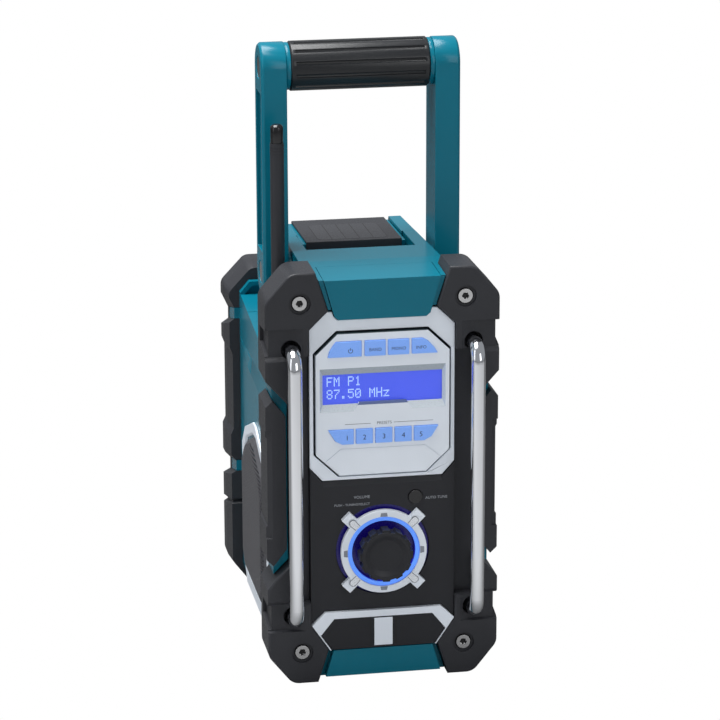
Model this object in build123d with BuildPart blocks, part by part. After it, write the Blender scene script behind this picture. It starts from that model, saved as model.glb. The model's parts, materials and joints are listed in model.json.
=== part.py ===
from build123d import *
import os
from math import cos, pi, sin

# Jobsite radio: a tall plastic cabinet between four rubber corner guards, with a folding
# carrying handle, two chrome guard rails, a lit display and a push-and-turn knob.
# Millimetres. X is left to right seen from the front, Y is front to back, Z is up.
# The origin is on the floor, midway between the rails' front and the rear guards' back.

os.makedirs("parts", exist_ok=True)

# Overall size
half_width = 81.5           # over the corner guards
front_y = -106.0            # face of the front corner guards
rear_y = 126.0              # back of the rear corner guards
guard_depth = 34.0          # front to back, each guard
front_top = 297.5           # top of the front guards
rear_top = 252.7            # top of the rear guards
gap = 0.3                   # between pieces that move past each other

# Cabinet
wall = 3.0
side_x = 72.0               # half-width of the cabinet at its rear end
panel_x = 73.2              # half-width over the proud lower sides
panel_low, panel_top = 21.0, 184.0
panel_rise = 0.045          # rise of the lower sides' top edge towards the back
panel_flat_y = 66.0         # where the lower sides start to run in, behind the speaker frames
floor_z = 7.0               # underside of the cabinet
rim_z = 242.0               # top of the rib against the rear guards
shoulder_rear_z = 233.0     # shoulder under the handle arms, at the rear guards
shoulder_fall = 0.088       # its fall towards the front
deck_front_x = 50.0         # half-width of the top deck, front and rear
deck_rear_x = 47.0
deck_edge_z = 291.0         # deck height at the front edge, ridge and rear edge
deck_under_z = 282.0        # underside of the deck's roof
lip_top_z = 24.1            # top of the lower lip, where the nose and the socket box stand on it
ridge_y, ridge_z = -56.0, 292.5
deck_rear_y, deck_rear_z = 80.0, 288.5
seam_y = 28.0               # where front and rear cabinets meet
front_wall_y = front_y + 10.0
guard_front_back = front_y + guard_depth
guard_rear_front = rear_y - guard_depth
cheek_y = front_y + 11.0    # face of the teal cheek under each side pad
cheek_x = 76.0

# Front panels
carrier_y = front_y + 7.0   # face of the black carrier behind the display
bezel_y = front_y + 4.0
panel_y = front_y + 1.5     # face of the raised display panel
control_y = front_y + 3.0   # face of the black control area
panel_half = 50.7
lcd_half, lcd_low, lcd_high = 41.7, 202.8, 224.0
button_stand = 1.2          # how far a button stands out of its panel
knob_z = 95.5
tune_x, tune_z = 23.2, 132.8

# Handle
pivot_y, pivot_z = -7.0, 274.3
grip_z = 420.8
arm_in, arm_out = 52.3, 70.1
arm_radius = 17.2
grip_radius = 17.4
pivot_bolt_radius = 4.0

# Guard rails
rail_x = 63.5
rail_y = front_y - 15.0
rail_radius = 5.0
rail_low, rail_high = 50.0, 243.5
rail_bend = 11.0
rail_end_y = front_wall_y + 20.0

# Speakers, one in each side
speaker_y, speaker_z = 2.0, 89.0

# Antenna, seated in the left shoulder
antenna_x, antenna_y, antenna_seat_z = -63.0, -45.0, 219.5
antenna_base_radius, rod_radius = 6.6, 4.75

# Battery door
door_half = 49.4
door_hinge_y, door_hinge_z = 108.2, 12.0
latch_y, latch_z = 74.0, 282.5


def slab_y(points, y0, y1, mode=Mode.ADD):
    """Outline in X and Z, from y0 back to y1."""
    with BuildSketch(Plane.XZ.offset(-y1)) as outline:
        Polygon(*points, align=None)
    extrude(outline.sketch, amount=y1 - y0, dir=(0, -1, 0), mode=mode)


def outline_y(points, y, corners=(), radius=0.0):
    """Sketch in X and Z at depth y, with the listed corners rounded."""
    with BuildSketch(Plane.XZ.offset(-y)) as outline:
        Polygon(*points, align=None)
        if corners:
            chosen = [
                v for v in outline.vertices() if any(abs(v.X - x) + abs(v.Y - z) < 0.01 for x, z in corners)
            ]
            fillet(chosen, radius)
    return outline.sketch


def slab_sheared(points, y0, y1, rise, mode=Mode.ADD):
    """Outline in X and Z at y0, carried back to y1 while it rises by rise per millimetre."""
    length = (y1 - y0) * (1 + rise**2) ** 0.5
    extrude(outline_y(points, y0), amount=length, dir=(0, 1, rise), mode=mode)


def taper_y(front, back, y0, y1, mode=Mode.ADD):
    """Body that changes evenly from one outline in X and Z at y0 to another at y1."""
    loft(sections=[outline_y(front, y0), outline_y(back, y1)], ruled=True, mode=mode)


def slab_x(points, x0, x1, mode=Mode.ADD):
    """Outline in Y and Z, from x0 to x1."""
    with BuildSketch(Plane.YZ.offset(x0)) as outline:
        Polygon(*points, align=None)
    extrude(outline.sketch, amount=x1 - x0, dir=(1, 0, 0), mode=mode)


def slab_z(points, z0, z1, mode=Mode.ADD):
    """Outline in X and Y, from z0 up to z1."""
    with BuildSketch(Plane.XY.offset(z0)) as outline:
        Polygon(*points, align=None)
    extrude(outline.sketch, amount=z1 - z0, dir=(0, 0, 1), mode=mode)


def block(x0, x1, y0, y1, z0, z1, mode=Mode.ADD):
    slab_z([(x0, y0), (x1, y0), (x1, y1), (x0, y1)], z0, z1, mode)


def round_y(x, z, radius, y0, y1, mode=Mode.ADD):
    """Round bar or hole along Y, from y0 back to y1."""
    with BuildSketch(Plane.XZ.offset(-y1)) as section:
        with Locations((x, z)):
            Circle(radius)
    extrude(section.sketch, amount=y1 - y0, dir=(0, -1, 0), mode=mode)


def round_x(y, z, radius, x0, x1, mode=Mode.ADD):
    """Round bar or hole along X, from x0 to x1."""
    with BuildSketch(Plane.YZ.offset(x0)) as section:
        with Locations((y, z)):
            Circle(radius)
    extrude(section.sketch, amount=x1 - x0, dir=(1, 0, 0), mode=mode)


def round_z(x, y, radius, z0, z1, mode=Mode.ADD):
    """Round bar or hole along Z, from z0 up to z1."""
    with BuildSketch(Plane.XY.offset(z0)) as section:
        with Locations((x, y)):
            Circle(radius)
    extrude(section.sketch, amount=z1 - z0, dir=(0, 0, 1), mode=mode)


def mirrored(points):
    """Outline given for X > 0 from top to bottom, closed by its mirror image."""
    return list(points) + [(-x, z) for x, z in reversed(points)]


def save(name, part):
    part.label = name
    export_step(part, f"parts/{name}.step")


def save_pair(name, right):
    """Right-hand piece and its mirror image on the left."""
    save(f"{name}_right", right)
    with BuildPart() as left:
        mirror(right, about=Plane.YZ)
    save(f"{name}_left", left.part)


# ---------------------------------------------------------------- front corner guards
# Each is a C: two corner blocks joined by a thin upright. A sunk band crosses each block
# where a rail end enters it.
corner_top = [(46.6, front_top), (63.8, front_top), (half_width, 277.5)]
corner_low = [(half_width, 21.2), (64.5, 0.0), (46.2, 0.0)]
upper_step = [(half_width, 222.0), (68.0, 207.0), (65.0, 203.0)]
lower_step = [(65.0, 89.0), (68.5, 85.5), (76.0, 78.0), (half_width, 71.0)]
inner_edge = [(38.6, 24.0), (51.0, 42.5), (51.0, 257.0), (37.8, 270.0)]
screw_x, screw_high, screw_low = 57.5, 276.2, 23.1
screw_head_radius, screw_radius = 5.0, 2.4
bands = [(239.0, 258.0, 3.0, 0.8), (40.0, 59.0, 0.8, 3.0)]   # bottom, top, lip below, lip above
band_depth, band_side = 3.0, 2.5
band_inner_x, band_full_x = 55.0, 64.0   # the bands fade out inwards between these
corner_radius, edge_radius = 10.0, 1.5


def band_cutter(low, high, lip_low, lip_high):
    """Sunk band with sloping lips, running out to nothing towards the display."""
    with BuildPart() as cutter:
        slab_x(
            [
                (front_y, low - lip_low), (front_y + band_depth, low), (front_y + band_depth, high),
                (front_y, high + lip_high), (front_y - 1, high + lip_high), (front_y - 1, low - lip_low),
            ],
            44, 90,
        )
        slab_z(
            [
                (band_inner_x, front_y - 2), (band_inner_x, front_y), (band_full_x, front_y + band_depth),
                (91, front_y + band_depth), (91, front_y - 2),
            ],
            low - 5, high + 5, Mode.INTERSECT,
        )
    return cutter.part


with BuildPart() as front_guard:
    guard_outline = corner_top + upper_step + lower_step + corner_low + inner_edge
    rounded = [corner_top[1], corner_top[2], corner_low[0], corner_low[1]]
    guard_sketch = outline_y(guard_outline, guard_front_back, rounded, corner_radius)
    extrude(guard_sketch, amount=guard_depth, dir=(0, -1, 0))
    fillet(front_guard.faces().sort_by(Axis.Y)[0].outer_wire().edges(), edge_radius)
    # upright, set back behind the rail
    block(44, 66, front_y, front_wall_y - 1, 59, 239, Mode.SUBTRACT)
    for band in bands:
        add(band_cutter(*band), mode=Mode.SUBTRACT)
        low, high = band[:2]
        slab_x(
            [(front_y, low), (front_y + 26, low + 6), (front_y + 26, high - 2), (front_y, high)],
            half_width - band_side, 90, Mode.SUBTRACT,
        )
    for z in (screw_low, screw_high):
        round_y(screw_x, z, 7.6, front_y, front_y + 1.8, Mode.SUBTRACT)
        round_y(screw_x, z, screw_head_radius + 0.8, front_y, front_y + 4.2, Mode.SUBTRACT)
        round_y(screw_x, z, screw_radius + 0.1, front_y, guard_front_back, Mode.SUBTRACT)
    for z in (rail_low, rail_high):
        round_y(rail_x, z, rail_radius + 1.8, front_y, front_wall_y + 2, Mode.SUBTRACT)
        round_y(rail_x, z, rail_radius + 0.05, front_y, rail_end_y, Mode.SUBTRACT)
save_pair("front_guard", front_guard.part)

# ---------------------------------------------------------------- rear corner guards
# Three rubber blocks on one back strip, with the cabinet's ribs showing in the gaps between them.
# The blocks narrow towards their front, and the gaps fall towards the back.
rear_face = [(50.0, 250.9), (63.2, 250.9), (79.7, 233.2), (79.7, 21.8), (62.9, 0.0)]
rear_full = [(50.0, rear_top), (63.8, rear_top), (half_width, 233.9), (half_width, 21.2), (64.5, 0.0)]
rear_inner = [(50.0, 0.0), (50.0, 22.0), (56.0, 32.0), (56.0, 216.0), (50.0, 228.0)]
rear_taper_y = 112.0
rear_radius = 8.0
gap_fall = -0.245
gap_bottom_x = 76.3
gap_back_y = rear_y - 8.0
# Gaps at the blocks' front: bottom, top, and the chamfered block ends outside, below and above
rear_gaps = [
    (212.3, 221.2, [(83.0, 207.6)], [(83.0, 236.0)]),
    (93.6, 102.4, [(83.0, 90.0)], [(83.0, 113.4), (80.0, 106.5)]),
]
# Waist of the middle block: full width beyond its ends, narrower between them
waist_ends, waist_middle = (122.5, 190.5), (127.0, 185.0)

with BuildPart() as rear_guard:
    loft(
        sections=[
            outline_y(rear_face + rear_inner, guard_rear_front, rear_face[1:], rear_radius),
            outline_y(rear_full + rear_inner, rear_taper_y, rear_full[1:], rear_radius),
        ],
        ruled=True,
    )
    extrude(
        outline_y(rear_full + rear_inner, rear_y, rear_full[1:], rear_radius),
        amount=rear_y - rear_taper_y, dir=(0, -1, 0),
    )
    for low, high, below, above in rear_gaps:
        slab_sheared(
            [(49, low), (gap_bottom_x, low), (gap_bottom_x, high), (49, high)],
            guard_rear_front, gap_back_y, gap_fall, Mode.SUBTRACT,
        )
        slab_sheared(
            [(gap_bottom_x - 0.1, low)] + below + above + [(gap_bottom_x - 0.1, high)],
            guard_rear_front, rear_y + 1, gap_fall, Mode.SUBTRACT,
        )
    # waist
    face_x, full_x, waist_in = rear_face[2][0], half_width, 2.1
    waists = [
        [(84, waist_ends[1] + 6), (x, waist_ends[1]), (x - waist_in, waist_middle[1]),
         (x - waist_in, waist_middle[0]), (x, waist_ends[0]), (84, waist_ends[0] - 6)]
        for x in (face_x, full_x)
    ]
    taper_y(waists[0], waists[1], guard_rear_front, rear_taper_y, Mode.SUBTRACT)
    taper_y(waists[1], waists[1], rear_taper_y, rear_y + 1, Mode.SUBTRACT)
    # slanted notch in the lowest block, carried on as a groove across its front
    slab_sheared(
        [(84, 75), (78.6, 70.2), (78.6, 69.4), (84, 66)],
        guard_rear_front, rear_y + 1, gap_fall, Mode.SUBTRACT,
    )
    slab_x(
        [(guard_rear_front, 71.9), (guard_rear_front + 2.5, 69.8), (guard_rear_front, 67.8)],
        55, 84, Mode.SUBTRACT,
    )
    for z in (screw_low, 232.0):
        round_y(screw_x + 8, z, screw_head_radius + 0.8, rear_y - 4.2, rear_y, Mode.SUBTRACT)
        round_y(screw_x + 8, z, screw_radius + 0.1, guard_rear_front, rear_y, Mode.SUBTRACT)
save_pair("rear_guard", rear_guard.part)

# ---------------------------------------------------------------- guard screws
# Eight button-head screws with a hexagon socket, one through each guard block.
with BuildPart() as guard_screws:
    for side in (-1, 1):
        for z in (screw_low, screw_high):
            round_y(side * screw_x, z, screw_head_radius, front_y + 1.0, front_y + 4.2)
            round_y(side * screw_x, z, screw_radius, front_y + 4.2, guard_front_back)
            with BuildSketch(Plane.XZ.offset(-(front_y + 3.2))):
                with Locations((side * screw_x, z)):
                    RegularPolygon(2.6, 6)
            extrude(amount=3, mode=Mode.SUBTRACT)
        for z in (screw_low, 232.0):
            round_y(side * (screw_x + 8), z, screw_head_radius, rear_y - 4.2, rear_y - 1.0)
            round_y(side * (screw_x + 8), z, screw_radius, guard_rear_front, rear_y - 4.2)
            with BuildSketch(Plane.XZ.offset(-(rear_y - 3.2))):
                with Locations((side * (screw_x + 8), z)):
                    RegularPolygon(2.6, 6)
            extrude(amount=-3, mode=Mode.SUBTRACT)
save("guard_screws", guard_screws.part)

# ---------------------------------------------------------------- chrome guard rails
with BuildPart() as rail:
    with BuildLine() as rail_path:
        FilletPolyline(
            (rail_x, rail_end_y, rail_low),
            (rail_x, rail_y, rail_low),
            (rail_x, rail_y, rail_high),
            (rail_x, rail_end_y, rail_high),
            radius=rail_bend,
        )
    with BuildSketch(Plane(origin=rail_path.line @ 0, z_dir=rail_path.line % 0)):
        Circle(rail_radius)
    sweep(path=rail_path.line)
save_pair("guard_rail", rail.part)

# ---------------------------------------------------------------- side pads
# Rubber pad wrapped round the front corner of each cheek, thicker at both ends.
pad_outline = [(81.5, 92.0), (81.5, 203.0), (76.5, 207.5), (67.5, 196.0), (67.5, 99.5), (76.8, 87.5)]
pad_front, pad_back = front_y + 3.0, front_y + 36.0

with BuildPart() as side_pad:
    slab_y(pad_outline, pad_front, pad_back)
    block(60, cheek_x + 0.05, cheek_y - 0.05, pad_back, 60, 220, Mode.SUBTRACT)
    slab_y([(84, 184), (80.3, 180), (80.3, 117), (84, 113)], pad_front - 1, pad_back + 1, Mode.SUBTRACT)
    slab_z([(84, pad_front + 5.5), (84, pad_front - 1), (76, pad_front - 1)], 108, 186, Mode.SUBTRACT)
save_pair("side_pad", side_pad.part)

# ---------------------------------------------------------------- front cabinet
side_section = [(side_x, 236.0), (side_x, 21.0), (58.0, floor_z)]
hollow_front_z, hollow_rear_z = 215.0, 224.0
deck_base_z = 214.0
deck_slope = (deck_rear_z - ridge_z) / (deck_rear_y - ridge_y)
deck_seam_z = ridge_z + deck_slope * (seam_y - ridge_y)
deck_seam_x = deck_front_x + (deck_rear_x - deck_front_x) * (seam_y - ridge_y) / (deck_rear_y - ridge_y)
crown_thick = 8.0
crown_back_y = ridge_y - 14.0
cheek = [(65.3, 89.9), (68.7, 86.4), (76.0, 79.0), (76.0, 215.3), (68.0, 206.4), (65.3, 203.0)]
nose = [(37.4, 270.2), (50.6, 257.1), (50.6, 42.6), (38.2, lip_top_z)]
pocket_front_y, pocket_half, pocket_floor_z = -19.0, 39.0, 272.0
speaker_hole = [
    (48, 50), (48, 118), (36, 130), (8, 141), (-4, 141), (-32, 130), (-44, 118), (-44, 50), (-32, 38),
    (36, 38),
]
socket_half, socket_low, socket_high = 33.0, 26.5, 44.0
jack_x, socket_z, jack_radius, inlet_radius = 14.0, 35.2, 4.5, 6.0


def shoulder_at(y):
    return shoulder_rear_z - shoulder_fall * (guard_rear_front - y)


def shoulder_cut(y0, y1):
    """Takes off what stands above the sloping shoulder."""
    slab_x([(y0, shoulder_at(y0)), (y1, shoulder_at(y1)), (y1, 260), (y0, 260)], -90, 90, Mode.SUBTRACT)


def side_panel(y0, y1):
    """Proud lower sides between two depths, each with a gentle facet above it."""
    for side in (-1, 1):
        ends = []
        for y in (y0, y1):
            x = panel_x if y <= panel_flat_y else side_x
            top = panel_top + panel_rise * (y - guard_front_back)
            ends.append([
                (side * (side_x - 1), panel_low), (side * x, panel_low), (side * x, top),
                (side * side_x, 200.0), (side * (side_x - 1), 200.0),
            ])
        taper_y(ends[0], ends[1], y0, y1)


with BuildPart() as front_cabinet:
    # sides and floor, under a sloping shoulder
    slab_y(mirrored(side_section), guard_front_back, seam_y)
    shoulder_cut(guard_front_back - 1, seam_y + 1)
    side_panel(guard_front_back, seam_y)
    # nose between the guards, carrying the front panels
    slab_y(mirrored(nose), front_wall_y, guard_front_back)
    # cheeks under the side pads
    for side in (-1, 1):
        slab_y([(side * x, z) for x, z in cheek], cheek_y, guard_front_back)
    # hollow inside, and the nose's own hollow, which the deck closes above the shoulder
    slab_y(
        mirrored([(side_x - wall, hollow_front_z), (side_x - wall, 22.2), (56.8, floor_z + wall)]),
        guard_front_back + wall, seam_y, Mode.SUBTRACT,
    )
    slab_y(
        mirrored([(47.6, 256.0), (47.6, 43.6), (37, 28.0)]), front_wall_y + wall, guard_front_back,
        Mode.SUBTRACT,
    )
    slab_y(
        mirrored([(47.6, 212.0), (47.6, 43.6), (37, 28.0)]), guard_front_back, guard_front_back + wall,
        Mode.SUBTRACT,
    )
    # speaker openings
    for x0, x1 in ((-80, -60), (60, 80)):
        slab_x(speaker_hole, x0, x1, Mode.SUBTRACT)
    # hole for the socket box behind the front flap
    block(
        -socket_half - 2, socket_half + 2, front_wall_y - 1, front_wall_y + 9, lip_top_z - 1, socket_high + 2,
        Mode.SUBTRACT,
    )
    # window for the display module and hole for the knob's encoder
    block(-45.5, 45.5, front_wall_y - 1, front_wall_y + wall + 1, 198.5, 228.5, Mode.SUBTRACT)
    round_y(0, knob_z, 9.0, front_wall_y - 1, front_wall_y + wall + 1, Mode.SUBTRACT)
    # screw holes behind the lower ends of the front guards
    for side in (-1, 1):
        round_y(
            side * screw_x, screw_low, screw_radius + 0.1, guard_front_back - 1, guard_front_back + 6,
            Mode.SUBTRACT,
        )
    # round seat of the antenna
    round_z(antenna_x, antenna_y, antenna_base_radius + 0.05, antenna_seat_z, 240, Mode.SUBTRACT)
save("front_cabinet", front_cabinet.part)

# ---------------------------------------------------------------- deck, finger pocket, lower lip
# Hood that stands on the shoulder, narrower between the guards and lowered in front for the crown.
with BuildPart() as deck:
    slab_z(
        [(deck_front_x, guard_front_back), (deck_front_x, ridge_y), (deck_seam_x, seam_y),
         (-deck_seam_x, seam_y), (-deck_front_x, ridge_y), (-deck_front_x, guard_front_back)],
        deck_base_z, 300,
    )
    slab_x(
        [(guard_front_back - 1, shoulder_at(guard_front_back - 1)), (seam_y + 1, shoulder_at(seam_y + 1)),
         (seam_y + 1, 200), (guard_front_back - 1, 200)],
        -60, 60, Mode.SUBTRACT,
    )
    slab_y(mirrored([(46.0, 297.0), (37.4, 270.2)]), front_wall_y, guard_front_back)
    # rims on either side of the crown
    for side in (-1, 1):
        slab_y(
            [(side * 46.0, 297.0), (side * 37.4, 270.2), (side * 35.1, 270.2), (side * 42.4, 297.0)],
            front_y + 3.5, front_wall_y,
        )
    slab_x(
        [(front_y - 2, deck_edge_z - 0.06), (ridge_y, ridge_z), (seam_y, deck_seam_z), (seam_y + 2, 310),
         (front_y - 2, 310)],
        -60, 60, Mode.SUBTRACT,
    )
    block(-40.9, 40.9, front_wall_y, crown_back_y + 0.2, deck_edge_z - crown_thick, 310, Mode.SUBTRACT)
    # hollow underneath
    block(
        -deck_front_x + wall, deck_front_x - wall, guard_front_back + wall, seam_y, 200, deck_under_z,
        Mode.SUBTRACT,
    )
    # mouth of the finger pocket, open towards the seam
    block(-pocket_half, pocket_half, pocket_front_y, seam_y, deck_under_z - 1, 300, Mode.SUBTRACT)
    # pivot bosses of the handle
    for x0, x1 in ((-52.0, -44.0), (44.0, 52.0)):
        round_x(pivot_y, pivot_z, 13.0, x0, x1)
    round_x(pivot_y, pivot_z, pivot_bolt_radius, -60, 60, Mode.SUBTRACT)
save("deck", deck.part)

# Tray of the finger pocket, under the deck's roof and open towards the seam
with BuildPart() as latch_pocket:
    block(
        -pocket_half - 2, pocket_half + 2, pocket_front_y - 2.5, seam_y, pocket_floor_z - 2.5, deck_under_z,
    )
    block(-pocket_half, pocket_half, pocket_front_y, seam_y, pocket_floor_z, 300, Mode.SUBTRACT)
save("latch_pocket", latch_pocket.part)

# Lip round the bare bottom plate
with BuildPart() as lower_lip:
    slab_y(mirrored([(38.2, lip_top_z), (45.2, 2.2)]), front_y + 7.0, guard_front_back)
save("lower_lip", lower_lip.part)

# Recess behind the front flap, with the seats of its two sockets
with BuildPart() as socket_box:
    block(-socket_half - 2, socket_half + 2, front_wall_y, front_wall_y + 9, lip_top_z, socket_high + 2)
    block(-socket_half, socket_half, front_y - 5, front_wall_y + 6, socket_low, socket_high, Mode.SUBTRACT)
    round_y(-jack_x, socket_z, jack_radius + 0.05, front_wall_y, front_wall_y + 20, Mode.SUBTRACT)
    round_y(jack_x, socket_z, inlet_radius + 0.05, front_wall_y, front_wall_y + 20, Mode.SUBTRACT)
save("socket_box", socket_box.part)

# ---------------------------------------------------------------- rear cabinet
bay_half, bay_front_y, bay_low = 43.0, 34.0, 42.0
rear_wall_y = guard_rear_front + 12.7
rib_front_y, rib_recess = guard_rear_front - 6.0, 3.0
sill_half, sill_front_y = 49.7, guard_rear_front - wall
shoulder_seam_y = 49.0
back_outline = [
    (49.7, 240.0), (49.7, 228.2), (55.7, 216.2), (55.7, 31.8), (49.7, 21.8), (49.7, floor_z),
]

with BuildPart() as rear_cabinet:
    slab_y(mirrored(side_section), seam_y, guard_rear_front)
    shoulder_cut(seam_y - 1, guard_rear_front + 1)
    side_panel(seam_y, panel_flat_y)
    side_panel(panel_flat_y, guard_rear_front)
    # fine seam across the shoulder, then the floor under the battery door
    block(
        -80, 80, shoulder_seam_y - 0.3, shoulder_seam_y + 0.3, shoulder_at(shoulder_seam_y) - 0.6, 240,
        Mode.SUBTRACT,
    )
    block(-deck_front_x, deck_front_x, seam_y, guard_rear_front, deck_base_z, rim_z)
    # rib against the guards, with a sunk front inside its edge
    rib = [(49.0, 230.0), (49.0, rim_z), (65.0, rim_z), (side_x, 233.7), (side_x, 230.0)]
    rib_inside = [(50.0, 231.9), (50.0, 238.8), (63.3, 238.8), (68.7, 232.6), (68.7, 231.9)]
    for side in (-1, 1):
        slab_y([(side * x, z) for x, z in rib], rib_front_y, guard_rear_front)
        slab_y(
            [(side * x, z) for x, z in rib_inside], rib_front_y - 0.01, rib_front_y + rib_recess,
            Mode.SUBTRACT,
        )
    # back between the guards
    slab_y(mirrored(back_outline), guard_rear_front, rear_wall_y)
    # ribs that show between the blocks of the rear guards
    for side in (-1, 1):
        for low, high, _below, _above in rear_gaps:
            slab_sheared(
                [(side * 55, low + gap), (side * (gap_bottom_x - 0.3), low + gap),
                 (side * (gap_bottom_x - 0.3), high - gap), (side * 55, high - gap)],
                guard_rear_front, gap_back_y - 0.2, gap_fall,
            )
    # hollow inside
    slab_y(
        mirrored([(side_x - wall, hollow_rear_z), (side_x - wall, 22.2), (56.8, floor_z + wall)]),
        seam_y, guard_rear_front - wall, Mode.SUBTRACT,
    )
    # way into the bay, through the top and the back
    block(-bay_half, bay_half, bay_front_y, rear_wall_y + 1, bay_low, 260, Mode.SUBTRACT)
    # speaker openings
    for x0, x1 in ((-80, -60), (60, 80)):
        slab_x(speaker_hole, x0, x1, Mode.SUBTRACT)
    # seat of the sill under the bay
    block(-sill_half, sill_half, sill_front_y, rear_wall_y + 1, 0, bay_low, Mode.SUBTRACT)
    # screw holes behind the rear guards
    for side in (-1, 1):
        for z in (screw_low, 232.0):
            round_y(
                side * (screw_x + 8), z, screw_radius + 0.1, guard_rear_front - 2, guard_rear_front + 1,
                Mode.SUBTRACT,
            )
save("rear_cabinet", rear_cabinet.part)

# Walls of the battery bay: front plate, floor plate and two side plates
bay_wall = 2.5
with BuildPart() as bay_front:
    block(
        -bay_half - bay_wall, bay_half + bay_wall, bay_front_y - bay_wall, bay_front_y, bay_low - bay_wall,
        hollow_rear_z,
    )
save("bay_front", bay_front.part)

with BuildPart() as bay_floor:
    block(-bay_half - bay_wall, bay_half + bay_wall, bay_front_y, sill_front_y, bay_low - bay_wall, bay_low)
save("bay_floor", bay_floor.part)

with BuildPart() as bay_sides:
    for x0, x1 in ((-bay_half - bay_wall, -bay_half), (bay_half, bay_half + bay_wall)):
        block(x0, x1, bay_front_y, sill_front_y, bay_low, hollow_rear_z)
save("bay_sides", bay_sides.part)

# Sill under the bay's way out, with the hinge ears of the battery door
with BuildPart() as bay_sill:
    block(-sill_half, sill_half, sill_front_y, rear_wall_y, floor_z, bay_low)
    for x0, x1 in ((-47.5, -38.5), (38.5, 47.5)):
        block(x0, x1, rear_wall_y - 3, door_hinge_y, door_hinge_z - 3.6, door_hinge_z + 3.6)
        round_x(door_hinge_y, door_hinge_z, 3.6, x0, x1)
    round_x(door_hinge_y, door_hinge_z, 1.5, -60, 60, Mode.SUBTRACT)
save("bay_sill", bay_sill.part)

# ---------------------------------------------------------------- crown
# Bare plate over the display that wraps round the top edge of the deck.
crown_top_half, crown_low_half, crown_low_z = 40.5, 32.5, 263.0
crown_face_y = front_y + 2.0
crown_rear_z = ridge_z + (deck_edge_z - ridge_z) * (crown_back_y - ridge_y) / (front_y - 2 - ridge_y)

with BuildPart() as crown:
    slab_x(
        [
            (crown_face_y, deck_edge_z), (crown_back_y, crown_rear_z),
            (crown_back_y, deck_edge_z - crown_thick + gap),
            (front_wall_y - 0.1, deck_edge_z - crown_thick + gap), (front_wall_y - 0.1, crown_low_z),
            (crown_face_y, crown_low_z),
        ],
        -crown_top_half, crown_top_half,
    )
    for side in (-1, 1):
        slab_y(
            [
                (side * crown_top_half, deck_edge_z), (side * (crown_low_half + 0.8), crown_low_z + 2.4),
                (side * (crown_low_half - 2), crown_low_z), (side * 60, crown_low_z - 1),
                (side * 60, deck_edge_z),
            ],
            crown_face_y - 1, front_wall_y + 0.05, Mode.SUBTRACT,
        )
save("crown", crown.part)

# ---------------------------------------------------------------- front panels
carrier_outline = [(38.5, 268.5), (panel_half, 256.8), (panel_half, 43.2), (41.2, 51.8)]
control_outline = [(42.5, 147.2), (panel_half, 156.6), (panel_half, 43.2), (41.2, 51.8)]
bezel_outline = [(38.5, 268.5), (panel_half, 256.8), (panel_half, 157.2), (42.3, 147.8)]
bezel_opening = [(32.1, 254.7), (48.1, 239.3), (48.1, 166.5), (31.0, 150.0)]
display_outline = [(31.5, 253.2), (46.6, 238.7), (46.6, 167.1), (30.4, 151.5)]
plate_outline = [(29.8, 171.3), (41.2, 161.9), (30.4, 151.5)]
crown_seat = [(41.0, 291.1), (33.65, 265.2), (31.0, crown_low_z - gap)]
lens_half, lens_low, lens_high = lcd_half + 1.6, lcd_low - 1.6, lcd_high + 1.6
glow_radius = 33.0
panel_back_y = carrier_y - 0.05

with BuildPart() as front_panel:
    slab_y(mirrored(carrier_outline), carrier_y, front_wall_y - 0.05)
    slab_y(mirrored(control_outline), control_y, carrier_y)
    slab_y(mirrored(crown_seat), carrier_y - 1, front_wall_y, Mode.SUBTRACT)
    # sloping top edge
    slab_x([(control_y - 1, 143.6), (control_y, 143.6), (control_y + 2, 147.3), (control_y - 1, 147.3)],
           -42.4, 42.4, Mode.SUBTRACT)
    # round recess of the glow, window of the display module, encoder and tune button holes
    round_y(0, knob_z, glow_radius, control_y - 1, control_y + 3, Mode.SUBTRACT)
    round_y(0, knob_z, 9.0, control_y - 1, front_wall_y, Mode.SUBTRACT)
    block(
        -lens_half - 0.3, lens_half + 0.3, carrier_y - 1, front_wall_y, lens_low - 0.3, lens_high + 0.3,
        Mode.SUBTRACT,
    )
    round_y(tune_x, tune_z, 5.3, control_y - 1, control_y + 4.5, Mode.SUBTRACT)
save("front_panel", front_panel.part)

with BuildPart() as display_bezel:
    slab_y(mirrored(bezel_outline), bezel_y, panel_back_y)
    slab_y(mirrored(bezel_opening), bezel_y - 1, carrier_y, Mode.SUBTRACT)
    slab_y(mirrored(crown_seat), bezel_y - 1, carrier_y, Mode.SUBTRACT)
save("display_bezel", display_bezel.part)

# Button outlines, left to right
button_outlines = [
    [(-38.2, 237.0), (-14.9, 237.0), (-14.9, 247.8), (-32.4, 247.8), (-34.9, 245.0), (-37.2, 241.0)],
    [(-12.5, 237.0), (1.8, 237.0), (1.8, 247.8), (-12.5, 247.8)],
    [(3.7, 237.0), (18.2, 237.0), (18.2, 247.8), (3.7, 247.8)],
    [(20.3, 237.0), (38.2, 237.0), (36.0, 240.6), (31.5, 245.6), (27.6, 247.8), (20.3, 247.8)],
]
preset_outlines = [
    [(-38.2, 184.8), (-20.6, 184.8), (-20.6, 174.3), (-28.5, 174.3), (-33.5, 177.0)],
    [(-18.8, 184.8), (-7.2, 184.8), (-7.2, 174.3), (-18.8, 174.3)],
    [(-5.2, 184.8), (6.4, 184.8), (6.4, 174.3), (-5.2, 174.3)],
    [(8.4, 184.8), (20.0, 184.8), (20.0, 174.3), (8.4, 174.3)],
    [(21.9, 184.8), (38.8, 184.8), (34.0, 177.0), (29.0, 174.3), (21.9, 174.3)],
]
button_back_y = panel_y + 3.4


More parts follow.
